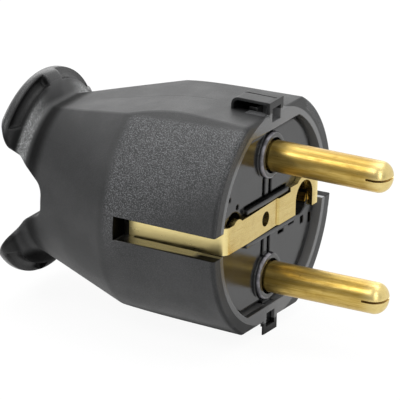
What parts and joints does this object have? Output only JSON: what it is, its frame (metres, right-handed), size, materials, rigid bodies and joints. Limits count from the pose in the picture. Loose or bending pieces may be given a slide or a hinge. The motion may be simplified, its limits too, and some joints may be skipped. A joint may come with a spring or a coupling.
{
  "type": "earthed mains plug",
  "caption": "Rewireable earthed mains plug with round brass pins, side earth contacts and pull ears either side of the cable entry.",
  "frame": {"origin": "centre of the cover's front rim, midway between the pins", "axes": "+X out along the pins, +Z from the lower pin to the upper pin, side earth contacts on -Y and +Y"},
  "size_m": [0.0599, 0.0366, 0.0364],
  "materials": {
    "cover_plastic": "spark-eroded grain on the barrel, fine grain elsewhere",
    "carrier_plastic": "satin gloss",
    "retainer_plastic": "plain moulded",
    "pin_brass": "turned and burnished",
    "strap_brass": "stamped sheet",
    "screw_steel": "zinc plated",
    "screw_black": "blackened steel",
    "grommet_rubber": "soft matt"
  },
  "bodies": {
    "root": {"grip_cover": "cover_plastic", "pin_carrier": "carrier_plastic", "contact_retainer": "retainer_plastic", "line_pin": "pin_brass", "neutral_pin": "pin_brass", "earth_strap": "strap_brass", "earth_sleeve": "strap_brass", "line_wire_plate": "screw_steel", "neutral_wire_plate": "screw_steel", "earth_wire_plate": "screw_steel", "line_terminal_screw": "screw_steel", "neutral_terminal_screw": "screw_steel", "earth_terminal_screw": "screw_steel", "centre_screw": "screw_black", "cord_clamp": "retainer_plastic", "cord_clamp_screws": "screw_steel", "cable_grommet": "grommet_rubber"}
  },
  "joints": []
}
